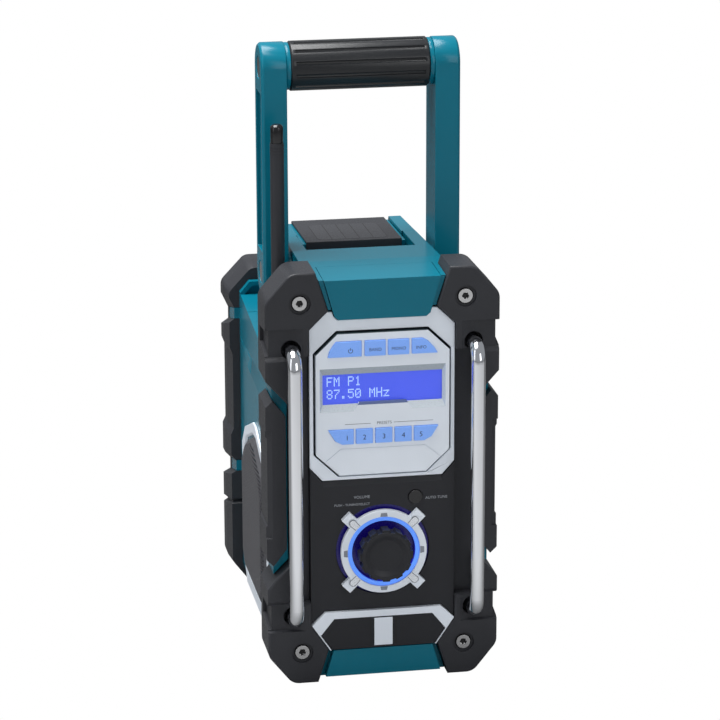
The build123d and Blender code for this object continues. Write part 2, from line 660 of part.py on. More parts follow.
def grown(points, extra):
    """Outline grown by a little on every side, about the middle of its bounding box."""
    xs = [x for x, z in points]
    zs = [z for x, z in points]
    cx, cz = (min(xs) + max(xs)) / 2, (min(zs) + max(zs)) / 2
    fx = 1 + 2 * extra / (max(xs) - min(xs))
    fz = 1 + 2 * extra / (max(zs) - min(zs))
    return [(cx + (x - cx) * fx, cz + (z - cz) * fz) for x, z in points]


with BuildPart() as display_panel:
    slab_y(mirrored(display_outline), panel_y, panel_back_y)
    # bevelled frame of the window, with a flush tongue in the middle of its lower edge
    with BuildSketch(Plane.XZ.offset(-panel_y)) as frame_front:
        with Locations((0, 213.35)):
            Rectangle(87.8, 30.9)
    with BuildSketch(Plane.XZ.offset(-(panel_y + 2))) as frame_back:
        with Locations((0, (lcd_low + lcd_high) / 2)):
            Rectangle(2 * lcd_half, lcd_high - lcd_low)
    loft(sections=[frame_front.sketch, frame_back.sketch], mode=Mode.SUBTRACT)
    slab_y([(-16.5, 204.0), (16.5, 204.0), (20.1, 198.0), (-20.1, 198.0)], panel_y, panel_y + 2)
    block(-lens_half, lens_half, panel_y + 2, carrier_y, lens_low, lens_high, Mode.SUBTRACT)
    for points in button_outlines + preset_outlines:
        slab_y(grown(points, gap), panel_y - 1, carrier_y, Mode.SUBTRACT)
    # bare hexagonal plate, set off by a fine groove
    slab_y(mirrored(plate_outline), panel_y - 1, panel_y + 0.5, Mode.SUBTRACT)
    slab_y(mirrored([(29.5, 170.6), (40.2, 161.9), (30.2, 152.3)]), panel_y, panel_y + 1)
save("display_panel", display_panel.part)

with BuildPart() as lcd_window:
    block(-lens_half + 0.1, lens_half - 0.1, panel_y + 2.05, panel_y + 3.2, lens_low + 0.1, lens_high - 0.1)
save("lcd_window", lcd_window.part)

with BuildPart() as lcd_module:
    block(
        -lens_half + 0.2, lens_half - 0.2, panel_y + 3.3, front_wall_y + wall, lens_low + 0.2,
        lens_high - 0.2,
    )
save("lcd_module", lcd_module.part)

for number, points in enumerate(button_outlines):
    with BuildPart() as button:
        slab_y(points, panel_y - button_stand, button_back_y)
    save(f"button_{number + 1}", button.part)

for number, points in enumerate(preset_outlines):
    with BuildPart() as preset:
        slab_y(points, panel_y - button_stand, button_back_y)
    save(f"preset_{number + 1}", preset.part)

with BuildPart() as tune_button:
    round_y(tune_x, tune_z, 5.0, control_y - button_stand, control_y + 3.2)
save("tune_button", tune_button.part)

# ---------------------------------------------------------------- knob
ring_in, ring_out, ring_front, ring_back = 25.5, 30.3, front_y - 2.5, front_y + 1.5
knob_radius, knob_front, knob_back = 19.0, front_y - 13.0, front_y - 2.4
shaft_radius = 3.0

with BuildPart() as knob_ring:
    round_y(0, knob_z, ring_out, ring_front, ring_back)
    # four arms down to the panel
    with BuildSketch(Plane.XZ.offset(-(control_y - 0.05))) as arms:
        with Locations((0, knob_z)):
            Rectangle(75.4, 8.0, rotation=45)
            Rectangle(75.4, 8.0, rotation=-45)
    extrude(arms.sketch, amount=control_y - 0.05 - ring_front - 1, dir=(0, -1, 0))
    round_y(0, knob_z, ring_in, ring_front - 1, control_y + 1, Mode.SUBTRACT)
save("knob_ring", knob_ring.part)

with BuildPart() as light_ring:
    round_y(0, knob_z, ring_in - 0.1, ring_front + 1.2, control_y + 2.9)
    round_y(0, knob_z, 22.4, ring_front, control_y + 1.4, Mode.SUBTRACT)
    round_y(0, knob_z, glow_radius - 0.3, control_y + 1.4, control_y + 2.9)
    round_y(0, knob_z, 4.9, ring_front, control_y + 4, Mode.SUBTRACT)
save("light_ring", light_ring.part)

with BuildPart() as encoder:
    round_y(0, knob_z, 8.7, carrier_y + 0.5, front_wall_y + 11.9)
    round_y(0, knob_z, 4.6, control_y, carrier_y + 0.5)
    round_y(0, knob_z, shaft_radius + 0.06, control_y - 1, front_wall_y + 6, Mode.SUBTRACT)
save("encoder", encoder.part)

with BuildPart() as encoder_shaft:
    round_y(0, knob_z, shaft_radius, knob_front + 4.5, front_wall_y + 4)
save("encoder_shaft", encoder_shaft.part)

lugs = 12
lobes = []
for i in range(lugs):
    valley = knob_radius - 1.8
    for offset, r in ((-0.36, valley), (-0.24, knob_radius), (0.24, knob_radius), (0.36, valley)):
        turn = 2 * pi * (i + offset) / lugs
        lobes.append((r * sin(turn), knob_z + r * cos(turn)))

with BuildPart() as knob:
    slab_y(lobes, knob_front + 0.8, knob_back)
    round_y(0, knob_z, knob_radius - 1.6, knob_front, knob_front + 2)
    # dished face
    with BuildSketch(Plane.XZ.offset(-knob_front)) as dish_front:
        with Locations((0, knob_z)):
            Circle(15.0)
    with BuildSketch(Plane.XZ.offset(-(knob_front + 1.8))) as dish_back:
        with Locations((0, knob_z)):
            Circle(11.5)
    loft(sections=[dish_front.sketch, dish_back.sketch], mode=Mode.SUBTRACT)
    # hollow behind, with the hub that takes the shaft
    round_y(0, knob_z, 15.0, knob_front + 4.4, knob_back + 1, Mode.SUBTRACT)
    round_y(0, knob_z, 6.0, knob_front + 4, knob_back)
    round_y(0, knob_z, shaft_radius + 0.04, knob_front + 4.4, knob_back + 1, Mode.SUBTRACT)
save("knob", knob.part)

# ---------------------------------------------------------------- input flap and its surround
flap_outline = [(34.6, 46.2), (44.0, 34.7), (37.9, 25.8), (36.5, 25.8), (36.5, 23.9)]
flap_front, flap_thick = front_y, 3.0
flap_hinge_y, flap_hinge_z = front_y + 1.1, 24.7
flap_pin_radius = 0.6

with BuildPart() as arch_trim:
    slab_y(mirrored([(41.1, 51.5), (50.5, 42.3), (37.8, 23.4)]), front_y + 0.3, front_wall_y - 0.05)
    slab_y(
        mirrored([(34.9, 46.6), (44.5, 34.7), (36.6, 23.0)]), front_y - 1, front_wall_y + 1, Mode.SUBTRACT,
    )
    # legs end above the cabinet's lower lip, apart from their eyes for the flap's pins
    block(-45, 45, front_y + 6.9, front_wall_y + 1, 20, 24.4, Mode.SUBTRACT)
    round_x(flap_hinge_y, flap_hinge_z, flap_pin_radius + 0.05, -40, 40, Mode.SUBTRACT)
save("arch_trim", arch_trim.part)

with BuildPart() as input_flap:
    slab_y(mirrored(flap_outline), flap_front, flap_front + flap_thick)
    slab_y(
        mirrored([(33.0, 44.0), (41.0, 34.4), (34.6, 25.6)]), flap_front + 1.6, flap_front + 4,
        Mode.SUBTRACT,
    )
    # pivot pins in the legs of the surround
    for x0, x1 in ((-38.3, -36.0), (36.0, 38.3)):
        round_x(flap_hinge_y, flap_hinge_z, flap_pin_radius, x0, x1)
save("input_flap", input_flap.part)

with BuildPart() as flap_tab:
    block(-6.6, 6.4, flap_front - 1.0, flap_front - 0.02, 25.5, 46.0)
save("flap_tab", flap_tab.part)

with BuildPart() as socket_plate:
    block(
        -socket_half + 0.2, socket_half - 0.2, front_wall_y + 3.5, front_wall_y + 5.95, socket_low + 0.2,
        socket_high - 0.2,
    )
    for x, radius in ((-jack_x, jack_radius), (jack_x, inlet_radius)):
        round_y(x, socket_z, radius + 0.05, front_wall_y + 3, front_wall_y + 6, Mode.SUBTRACT)
save("socket_plate", socket_plate.part)

# Audio input jack on the left, power inlet with its pin on the right
socket_front = front_wall_y + 1.5
with BuildPart() as input_sockets:
    round_y(-jack_x, socket_z, jack_radius, socket_front, socket_front + 15.5)
    round_y(-jack_x, socket_z, 1.8, socket_front - 1, socket_front + 14.0, Mode.SUBTRACT)
    round_y(jack_x, socket_z, inlet_radius, socket_front, socket_front + 12.0)
    round_y(jack_x, socket_z, 3.2, socket_front - 1, socket_front + 10.5, Mode.SUBTRACT)
    round_y(jack_x, socket_z, 1.0, socket_front + 0.5, socket_front + 11.0)
save("input_sockets", input_sockets.part)

with BuildPart() as lower_plate:
    slab_y(mirrored([(35.2, 23.1), (41.0, 3.6)]), front_y + 0.5, front_y + 6.95)
save("lower_plate", lower_plate.part)

# ---------------------------------------------------------------- speakers
frame_outline = [
    (66, 40), (66, 126), (50, 142), (8, 158), (-4, 158), (-46, 142), (-62, 126), (-62, 40), (-44, 21),
    (48, 21),
]
mesh_outline = [
    (56, 45), (56, 121), (43, 134), (8, 147.5), (-4, 147.5), (-39, 134), (-52, 121), (-52, 45), (-39, 31.5),
    (43, 31.5),
]
mesh_face = [
    (47, 52), (47, 116), (36, 127), (8, 137.5), (-4, 137.5), (-32, 127), (-43, 116), (-43, 52),
    (-32, 41), (36, 41),
]
frame_face_x, mesh_face_x, mesh_thick = panel_x + 1.8, panel_x + 5.0, 1.2
hole_size, hole_pitch = 3.1, 8.6


def shrunk(points, extra):
    """Speaker outline moved inwards along its two main directions."""
    return [
        (y - extra if y > speaker_y else y + extra, z - extra if z > speaker_z else z + extra)
        for y, z in points
    ]


with BuildPart() as speaker_frame:
    slab_x(frame_outline, panel_x + 0.05, frame_face_x)
    with BuildSketch(Plane.YZ.offset(frame_face_x + 0.01)) as wide:
        Polygon(*shrunk(mesh_outline, -2.2), align=None)
    with BuildSketch(Plane.YZ.offset(panel_x - 1)) as narrow:
        Polygon(*shrunk(mesh_outline, -0.3), align=None)
    loft(sections=[wide.sketch, narrow.sketch], mode=Mode.SUBTRACT)
save_pair("speaker_frame", speaker_frame.part)

with BuildPart() as speaker_grille:
    with BuildSketch(Plane.YZ.offset(panel_x + 0.05)) as base_outer:
        Polygon(*mesh_outline, align=None)
    with BuildSketch(Plane.YZ.offset(mesh_face_x)) as face_outer:
        Polygon(*mesh_face, align=None)
    loft(sections=[base_outer.sketch, face_outer.sketch])
    with BuildSketch(Plane.YZ.offset(panel_x)) as base_inner:
        Polygon(*shrunk(mesh_outline, mesh_thick * 1.4), align=None)
    with BuildSketch(Plane.YZ.offset(mesh_face_x - mesh_thick)) as face_inner:
        Polygon(*shrunk(mesh_face, mesh_thick * 0.4), align=None)
    loft(sections=[base_inner.sketch, face_inner.sketch], mode=Mode.SUBTRACT)
    # hexagonal holes in the flat middle
    spots = []
    for row in range(-5, 6):
        for column in range(-5, 6):
            y = speaker_y + (column + 0.5 * (row % 2)) * hole_pitch
            z = speaker_z + row * hole_pitch * 0.866
            if abs(y - speaker_y) < 41 and abs(z - speaker_z) < 43:
                spots.append((y, z))
    with BuildSketch(Plane.YZ.offset(mesh_face_x - mesh_thick - 0.5)) as holes:
        with Locations(*spots):
            RegularPolygon(hole_size, 6)
    extrude(holes.sketch, amount=mesh_thick + 1, dir=(1, 0, 0), mode=Mode.SUBTRACT)
save_pair("speaker_grille", speaker_grille.part)

with BuildPart() as speaker_driver:
    round_x(speaker_y, speaker_z, 47.5, 66.0, 68.8)
    with BuildSketch(Plane.YZ.offset(66.0)) as basket_wide:
        with Locations((speaker_y, speaker_z)):
            Circle(43.0)
    with BuildSketch(Plane.YZ.offset(55.0)) as basket_narrow:
        with Locations((speaker_y, speaker_z)):
            Circle(24.0)
    loft(sections=[basket_wide.sketch, basket_narrow.sketch])
    round_x(speaker_y, speaker_z, 22.0, 46.5, 55.0)
    with BuildSketch(Plane.YZ.offset(69.0)) as cone_wide:
        with Locations((speaker_y, speaker_z)):
            Circle(40.0)
    with BuildSketch(Plane.YZ.offset(58.5)) as cone_narrow:
        with Locations((speaker_y, speaker_z)):
            Circle(14.0)
    loft(sections=[cone_wide.sketch, cone_narrow.sketch], mode=Mode.SUBTRACT)
save_pair("speaker_driver", speaker_driver.part)

# ---------------------------------------------------------------- antenna
with BuildPart() as antenna_base:
    round_z(antenna_x, antenna_y, antenna_base_radius, antenna_seat_z + 0.05, antenna_seat_z + 14.5)
    round_z(antenna_x, antenna_y, rod_radius + 0.05, antenna_seat_z + 5, antenna_seat_z + 16, Mode.SUBTRACT)
save("antenna_base", antenna_base.part)

with BuildPart() as antenna_rod:
    round_z(antenna_x, antenna_y, rod_radius, antenna_seat_z + 5.05, 375.0)
save("antenna_rod", antenna_rod.part)

with BuildPart() as antenna_cap:
    round_z(antenna_x, antenna_y, 4.4, 375.05, 388.0)
    chamfer(antenna_cap.edges().group_by(Axis.Z)[-1], length=1.6)
save("antenna_cap", antenna_cap.part)

# ---------------------------------------------------------------- handle
with BuildPart() as handle_arm:
    round_x(pivot_y, pivot_z, arm_radius, arm_in, arm_out)
    round_x(pivot_y, grip_z, arm_radius, arm_in, arm_out)
    block(arm_in, arm_out, pivot_y - arm_radius, pivot_y + arm_radius, pivot_z, grip_z)
    edge = handle_arm.edges().filter_by(lambda e: e.center().X > arm_out - 0.1)
    chamfer(edge, length=1.6)
    # long recess of the outer face
    block(arm_out - 3.0, arm_out + 1, pivot_y - 11.5, pivot_y + 11.5, 290.9, 403.4, Mode.SUBTRACT)
    for z in (pivot_z, grip_z):
        round_x(pivot_y, z, 8.2, arm_out - 2.6, arm_out + 1, Mode.SUBTRACT)
    round_x(pivot_y, pivot_z, pivot_bolt_radius + 0.08, arm_in - 1, arm_out, Mode.SUBTRACT)
    round_x(pivot_y, grip_z, 3.05, arm_in - 1, arm_out, Mode.SUBTRACT)
save_pair("handle_arm", handle_arm.part)

with BuildPart() as pivot_bolts:
    for side in (-1, 1):
        x0, x1 = sorted((side * 44.5, side * (arm_out - 2.5)))
        round_x(pivot_y, pivot_z, pivot_bolt_radius, x0, x1)
        x0, x1 = sorted((side * (arm_out - 2.5), side * (arm_out - 0.4)))
        round_x(pivot_y, pivot_z, 7.4, x0, x1)
save("pivot_bolts", pivot_bolts.part)

with BuildPart() as grip_screws:
    for side in (-1, 1):
        x0, x1 = sorted((side * 36.0, side * (arm_out - 2.55)))
        round_x(pivot_y, grip_z, 3.0, x0, x1)
        x0, x1 = sorted((side * (arm_out - 2.55), side * (arm_out - 0.4)))
        round_x(pivot_y, grip_z, 7.4, x0, x1)
save("grip_screws", grip_screws.part)

with BuildPart() as grip_core:
    round_x(pivot_y, grip_z, 12.0, -arm_in + 0.05, arm_in - 0.05)
    round_x(pivot_y, grip_z, 16.6, 49.0, arm_in - 0.05)
    round_x(pivot_y, grip_z, 16.6, -arm_in + 0.05, -49.0)
    round_x(pivot_y, grip_z, 3.05, 35.0, arm_in, Mode.SUBTRACT)
    round_x(pivot_y, grip_z, 3.05, -arm_in, -35.0, Mode.SUBTRACT)
save("grip_core", grip_core.part)

with BuildPart() as grip_sleeve:
    round_x(pivot_y, grip_z, grip_radius, -48.95, 48.95)
    chamfer(grip_sleeve.edges().filter_by(GeomType.CIRCLE), length=1.0)
    round_x(pivot_y, grip_z, 12.05, -50, 50, Mode.SUBTRACT)
    # lengthwise grooves
    for i in range(12):
        turn = 2 * pi * (i + 0.5) / 12
        round_x(
            pivot_y + (grip_radius + 0.3) * sin(turn), grip_z + (grip_radius + 0.3) * cos(turn), 1.45,
            -45.5, 45.5, Mode.SUBTRACT,
        )
save("grip_sleeve", grip_sleeve.part)

# ---------------------------------------------------------------- battery door and its latch
door_in, door_out = rear_wall_y + gap, rear_wall_y + 6.3
channel_half, channel_floor_z = 38.0, 277.5

with BuildPart() as battery_door:
    slab_x(
        [
            (seam_y + gap, deck_seam_z), (deck_rear_y, deck_rear_z), (103.0, 253.5), (door_out, 246.0),
            (door_out, 16.5), (door_in, 16.5), (door_in, rim_z + 0.4), (seam_y + gap, rim_z + 0.4),
        ],
        -door_half, door_half,
    )
    for side in (-1, 1):
        slab_z(
            [(side * (deck_seam_x - 0.03), seam_y), (side * deck_rear_x, deck_rear_y),
             (side * deck_rear_x, guard_rear_front - 0.4), (side * 60, guard_rear_front - 0.4),
             (side * 60, seam_y)],
            230, 300, Mode.SUBTRACT,
        )
    # hollow underneath
    slab_x([(27, 274.5), (74, 274.5), (100, 241), (100, 230), (27, 230)], -43.6, 43.6, Mode.SUBTRACT)
    # channel of the latch
    block(-channel_half, channel_half, seam_y - 1, 95, channel_floor_z, 300, Mode.SUBTRACT)
    round_x(latch_y, latch_z, 2.1, -41, 41, Mode.SUBTRACT)
    # hinge knuckle
    block(-38, 38, door_hinge_y - 0.5, door_out, door_hinge_z, 17)
    round_x(door_hinge_y, door_hinge_z, 3.2, -38, 38)
    round_x(door_hinge_y, door_hinge_z, 1.6, -40, 40, Mode.SUBTRACT)
    # grooves across the back
    for z in (70.0, 120.0, 170.0, 220.0):
        block(-40, 40, door_out - 1.0, door_out + 1, z, z + 3, Mode.SUBTRACT)
save("battery_door", battery_door.part)

with BuildPart() as door_hinge_pin:
    round_x(door_hinge_y, door_hinge_z, 1.48, -47, 47)
save("door_hinge_pin", door_hinge_pin.part)

latch_half, latch_front_y, latch_back_y = 37.3, 9.5, 79.5
latch_top_front = ridge_z + deck_slope * (latch_front_y - ridge_y) - 2.4
latch_top_back = ridge_z + deck_slope * (latch_back_y - ridge_y) - 2.4

with BuildPart() as latch:
    slab_x(
        [
            (latch_front_y, latch_top_front), (latch_back_y, latch_top_back), (latch_back_y, 283.0),
            (76.5, 279.4), (latch_front_y, 279.4),
        ],
        -latch_half, latch_half,
    )
    # ribbed underside
    for x0, x1 in ((-35.0, -12.5), (-10.5, 10.5), (12.5, 35.0)):
        block(x0, x1, latch_front_y + 2.5, 66, 279, 284.5, Mode.SUBTRACT)
    round_x(latch_y, latch_z, 2.0, -40.6, 40.6)
save("latch", latch.part)

pad_half = 34.6
with BuildPart() as latch_pad:
    slab_x(
        [
            (latch_front_y - 1.5, latch_top_front + 1.9), (latch_back_y, latch_top_back + 2.2),
            (latch_back_y, latch_top_back + 0.05), (latch_front_y - 0.05, latch_top_front + 0.05),
            (latch_front_y - 0.05, 281.2), (latch_front_y - 1.5, 281.2),
        ],
        -pad_half, pad_half,
    )
save("latch_pad", latch_pad.part)

# ---------------------------------------------------------------- inside
with BuildPart() as battery_terminal:
    block(-18, 18, bay_front_y + 0.05, bay_front_y + 9, 60, 118)
    for x in (-9.0, 9.0):
        block(x - 2, x + 2, bay_front_y + 3, bay_front_y + 10, 55, 112, Mode.SUBTRACT)
save("battery_terminal", battery_terminal.part)

with BuildPart() as circuit_board:
    block(-42, 42, front_wall_y + 12, front_wall_y + 13.6, 56, 195)
    block(-20, 10, front_wall_y + 13.6, front_wall_y + 18, 120, 150)
    block(15, 35, front_wall_y + 13.6, front_wall_y + 20, 70, 100)
save("circuit_board", circuit_board.part)
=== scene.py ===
import json
import math
import bpy
from mathutils import Euler, Matrix, Vector


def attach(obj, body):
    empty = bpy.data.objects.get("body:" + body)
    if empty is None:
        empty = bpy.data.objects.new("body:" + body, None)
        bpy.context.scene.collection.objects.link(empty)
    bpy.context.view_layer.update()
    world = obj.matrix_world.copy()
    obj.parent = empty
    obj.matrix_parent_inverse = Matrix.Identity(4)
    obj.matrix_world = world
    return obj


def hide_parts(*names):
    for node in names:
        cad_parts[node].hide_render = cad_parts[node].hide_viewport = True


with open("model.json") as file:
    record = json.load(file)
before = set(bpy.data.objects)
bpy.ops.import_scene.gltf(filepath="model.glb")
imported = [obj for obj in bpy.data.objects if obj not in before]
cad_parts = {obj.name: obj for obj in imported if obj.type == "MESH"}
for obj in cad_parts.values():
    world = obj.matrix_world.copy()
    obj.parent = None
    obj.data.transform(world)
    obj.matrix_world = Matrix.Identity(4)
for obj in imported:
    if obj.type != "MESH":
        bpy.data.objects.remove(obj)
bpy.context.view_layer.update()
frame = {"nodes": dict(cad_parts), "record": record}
nodes = frame["nodes"]
scene = bpy.context.scene
scene.view_settings.view_transform = "Standard"
MM = 0.001

# ------------------------------------------------------------------ places on the radio, in millimetres
KEY_FACE = -105.70         # y of the keys' faces
PANEL_FACE = -104.50       # y of the display panel's face
CONTROL_FACE = -103.00     # y of the control area's face
WINDOW_FLOOR = -102.50     # y of the foot of the window's bevel
RING_SUNK = -108.45        # y just behind the face of the knob's ring
KNOB_Z = 95.5              # height of the knob's middle, which is at x 0
SPEAKER_Y = 2.0            # middle of a speaker's grille
SPEAKER_Z = 89.5
WORD_LIFT = 0.02           # how far words stand off their face
MARK_THICK = 0.04          # thickness of a drawn mark

# ------------------------------------------------------------------ camera
# fitted to the photo, angles in degrees
CAMERA_DOWN = 16.417
CAMERA_TURN = -9.943
CAMERA_ROLL = -0.18
cam_data = bpy.data.cameras.new("camera")
cam_data.lens = 157.703
cam_data.sensor_width = 36.0
cam_data.clip_start = 0.05
cam_data.clip_end = 50.0
camera = bpy.data.objects.new("camera", cam_data)
scene.collection.objects.link(camera)
look = Euler((math.radians(90 - CAMERA_DOWN), 0.0, math.radians(CAMERA_TURN))).to_matrix().to_4x4()
roll = Matrix.Rotation(math.radians(CAMERA_ROLL), 4, "Z")
camera.matrix_world = Matrix.Translation((-0.37315, -2.14247, 0.84386)) @ look @ roll
scene.camera = camera


# ------------------------------------------------------------------ shader helpers
def node(tree, kind, **inputs):
    made = tree.nodes.new(kind)
    for key, value in inputs.items():
        if key in made.inputs:
            made.inputs[key].default_value = value
        else:
            setattr(made, key, value)
    return made


def link(tree, a, output, b, name):
    tree.links.new(a.outputs[output], b.inputs[name])


def map_range(tree, from_min, from_max, to_min, to_max):
    made = node(tree, "ShaderNodeMapRange")
    made.inputs["From Min"].default_value = from_min
    made.inputs["From Max"].default_value = from_max
    made.inputs["To Min"].default_value = to_min
    made.inputs["To Max"].default_value = to_max
    return made


def colour_ramp(tree, first, last):
    """Ramp between two stops, each a position and a colour."""
    made = node(tree, "ShaderNodeValToRGB")
    for element, (position, colour) in zip(made.color_ramp.elements, (first, last)):
        element.position = position
        element.color = colour
    return made


def along_y(tree, from_min, from_max, to_min, to_max):
    """Value that changes along the object's own Y, from front to back."""
    place = node(tree, "ShaderNodeTexCoord")
    axes = node(tree, "ShaderNodeSeparateXYZ")
    value = map_range(tree, from_min, from_max, to_min, to_max)
    link(tree, place, "Object", axes, "Vector")
    link(tree, axes, "Y", value, "Value")
    return value


def srgb(r, g, b):
    """Colour given as 0-255 screen values, as linear light."""
    def one(c):
        c /= 255.0
        return c / 12.92 if c <= 0.04045 else ((c + 0.055) / 1.055) ** 2.4

    return (one(r), one(g), one(b), 1.0)


def shade(colour, k):
    return (colour[0] * k, colour[1] * k, colour[2] * k, 1.0)


# ------------------------------------------------------------------ materials
def moulded(name, colour, rough=0.45, metallic=0.0, grain=0.00022, grain_depth=0.00002, mottle=0.10,
            specular=0.5, rough_spread=0.08):
    """Moulded or painted surface: a fine grain in the bump, slow changes of tone and of gloss."""
    mat = bpy.data.materials.new(name)
    mat.use_nodes = True
    tree = mat.node_tree
    shader = tree.nodes["Principled BSDF"]
    shader.inputs["Metallic"].default_value = metallic
    shader.inputs["Specular IOR Level"].default_value = specular
    place = node(tree, "ShaderNodeTexCoord")
    slow = node(tree, "ShaderNodeTexNoise", Scale=14.0, Detail=3.0, Roughness=0.55)
    fine = node(tree, "ShaderNodeTexNoise", Scale=0.35 / grain, Detail=2.0, Roughness=0.6)
    link(tree, place, "Object", slow, "Vector")
    link(tree, place, "Object", fine, "Vector")
    tone = colour_ramp(tree, (0.32, shade(colour, 1.0 - mottle)), (0.70, shade(colour, 1.0 + mottle)))
    link(tree, slow, "Fac", tone, "Fac")
    link(tree, tone, "Color", shader, "Base Color")
    gloss = map_range(tree, 0.3, 0.7, max(0.02, rough - rough_spread), rough + rough_spread)
    link(tree, fine, "Fac", gloss, "Value")
    link(tree, gloss, "Result", shader, "Roughness")
    if grain_depth > 0:
        bump = node(tree, "ShaderNodeBump", Strength=0.6, Distance=grain_depth)
        link(tree, fine, "Fac", bump, "Height")
        link(tree, bump, "Normal", shader, "Normal")
    return mat


def emissive(name, colour, strength, edge=None, scale=40.0):
    """Lit plastic: its own soft glow, uneven from place to place."""
    mat = moulded(name, colour, rough=0.3, mottle=0.04)
    tree = mat.node_tree
    shader = tree.nodes["Principled BSDF"]
    place = node(tree, "ShaderNodeTexCoord")
    cloud = node(tree, "ShaderNodeTexNoise", Scale=scale, Detail=1.0)
    ramp = colour_ramp(tree, (0.3, edge or shade(colour, 0.92)), (0.7, colour))
    link(tree, place, "Object", cloud, "Vector")
    link(tree, cloud, "Fac", ramp, "Fac")
    link(tree, ramp, "Color", shader, "Emission Color")
    shader.inputs["Emission Strength"].default_value = strength
    return mat


def glow_by_depth(mat):
    """The ring's own glow, bright on its face, with painted shade that darkens it to deep blue down its inner
    wall and to navy on the disc behind it.
    """
    tree = mat.node_tree
    depth = along_y(tree, -0.1074, -0.1014, 0.0, 1.0)
    glow = colour_ramp(tree, (0.06, srgb(92, 148, 250)), (0.80, srgb(14, 6, 84)))
    middle = glow.color_ramp.elements.new(0.16)
    middle.color = srgb(44, 34, 208)
    link(tree, depth, "Result", glow, "Fac")
    for socket in ("Emission Color", "Base Color"):
        link(tree, glow, "Color", tree.nodes["Principled BSDF"], socket)


def clear_glass(name):
    mat = bpy.data.materials.new(name)
    mat.use_nodes = True
    shader = mat.node_tree.nodes["Principled BSDF"]
    shader.inputs["Base Color"].default_value = (0.95, 0.96, 1.0, 1.0)
    shader.inputs["Roughness"].default_value = 0.03
    shader.inputs["Transmission Weight"].default_value = 1.0
    shader.inputs["IOR"].default_value = 1.2
    return mat


def print_ink(name, colour):
    """Flat colour of printed or painted marks."""
    return moulded(name, colour, rough=0.5, mottle=0.03, grain_depth=0.0)


def bevel_paint(name, colour):
    """Smooth finish of the window's frame, in tones that hold painted light and shade."""
    return moulded(name, colour, rough=0.3, metallic=0.1, mottle=0.04, grain_depth=0.0)


teal = moulded("teal_plastic", srgb(6, 104, 124), rough=0.24, mottle=0.04, grain=0.0003,
               grain_depth=0.000003, specular=0.26, rough_spread=0.03)
rubber = moulded("black_rubber", srgb(47, 48, 52), rough=0.44, mottle=0.08, grain=0.0004,
                 grain_depth=0.000025, specular=0.28)
grip_rubber = moulded("grip_rubber", srgb(24, 26, 29), rough=0.36, mottle=0.04, grain=0.0004,
                      grain_depth=0.000003, specular=0.42)
soft_black = moulded("black_plastic", srgb(37, 38, 42), rough=0.42, mottle=0.06, grain=0.00025,
                     grain_depth=0.00002, specular=0.26)
gloss_black = moulded("gloss_black", srgb(22, 22, 24), rough=0.16, mottle=0.05, grain=0.0006,
                      grain_depth=0.0, specular=0.5, rough_spread=0.03)
silver = moulded("silver_paint", srgb(228, 235, 243), rough=0.34, metallic=0.18, mottle=0.03,
                 grain=0.00012, grain_depth=0.000006, rough_spread=0.05)
chrome = moulded("chrome", srgb(228, 230, 234), rough=0.09, metallic=1.0, mottle=0.02, grain=0.002,
                 grain_depth=0.0, rough_spread=0.03)
steel = moulded("steel", srgb(205, 205, 206), rough=0.16, metallic=1.0, mottle=0.06, grain=0.0004,
                grain_depth=0.00001, rough_spread=0.06)
mesh_grey = moulded("grille_metal", srgb(86, 86, 90), rough=0.42, metallic=0.3, mottle=0.05,
                    grain=0.0003, grain_depth=0.00001)
button_blue = emissive("button_blue", srgb(118, 160, 232), 0.24)
lcd_blue = emissive("lcd_blue", srgb(70, 92, 222), 0.44, edge=srgb(66, 84, 214), scale=9.0)
glow_light = emissive("glow_light", srgb(120, 172, 250), 0.47)
# the light ring's own glow, with painted shade down its inner wall and on the disc behind it
glow_by_depth(glow_light)
board = moulded("board_green", srgb(24, 92, 52), rough=0.4, mottle=0.15)
glass = clear_glass("display_glass")
ink = print_ink("ink_dark", srgb(22, 32, 66))
ink_pale = print_ink("ink_pale", srgb(150, 154, 160))
line_grey = print_ink("line_grey", srgb(84, 90, 100))
# painted shade of the notches at the knob ring's inner edge
notch_painted_shade = print_ink("notch_painted_shade", srgb(132, 138, 148))
# dark joints of the latch pad, and painted shade in the front screws' sockets, the flap's grooves and the
# deck seam
joint_black_and_painted_shade = moulded("joint_black_and_painted_shade", srgb(12, 12, 13), rough=0.6, mottle=0.04, grain_depth=0.0)
lcd_white = emissive("lcd_white", srgb(168, 198, 236), 0.72)
# the window frame's sides, one silver in lit and shaded tones: painted shade on the top side, painted light
# on the lower sides, painted light and shade on the left and right sides
bevel_painted_shade = bevel_paint("bevel_painted_shade", srgb(169, 180, 189))
bevel_painted_light = bevel_paint("bevel_painted_light", srgb(193, 202, 209))
bevel_painted_side_tone = bevel_paint("bevel_painted_side_tone", srgb(192, 204, 222))
shade_blue = moulded("shade_blue", srgb(94, 111, 160), rough=0.5, mottle=0.05, grain_depth=0.0)
# painted shade on the display panel's side wall
panel_edge_painted_shade = moulded("panel_edge_painted_shade", srgb(58, 74, 80), rough=0.35, mottle=0.05, grain_depth=0.0)
inlay_silver = moulded("ring_inlay", srgb(226, 230, 235), rough=0.3, metallic=0.35, mottle=0.02,
                       grain_depth=0.0)
pad_field = moulded("pad_field", srgb(50, 51, 55), rough=0.44, mottle=0.06, grain=0.0004,
                    grain_depth=0.00002, specular=0.4)

BY_SLOT = {
    "teal_plastic": teal, "black_plastic": soft_black, "silver_plastic": silver, "display_glass": glass,
    "display_blue": lcd_blue, "glow_blue": glow_light, "button_blue": button_blue, "steel": steel,
    "chrome": chrome, "black_rubber": rubber, "gloss_black": gloss_black, "grille_metal": mesh_grey,
    "board_green": board,
}
OWN_FINISH = {"grip_sleeve": grip_rubber, "antenna_cap": gloss_black}
slot_of = {row["node"]: row["material_slot"] for row in frame["record"]["subparts"]}


# ------------------------------------------------------------------ finish and edges of the CAD solids
def paint(obj, mat):
    obj.data.materials.clear()
    obj.data.materials.append(mat)


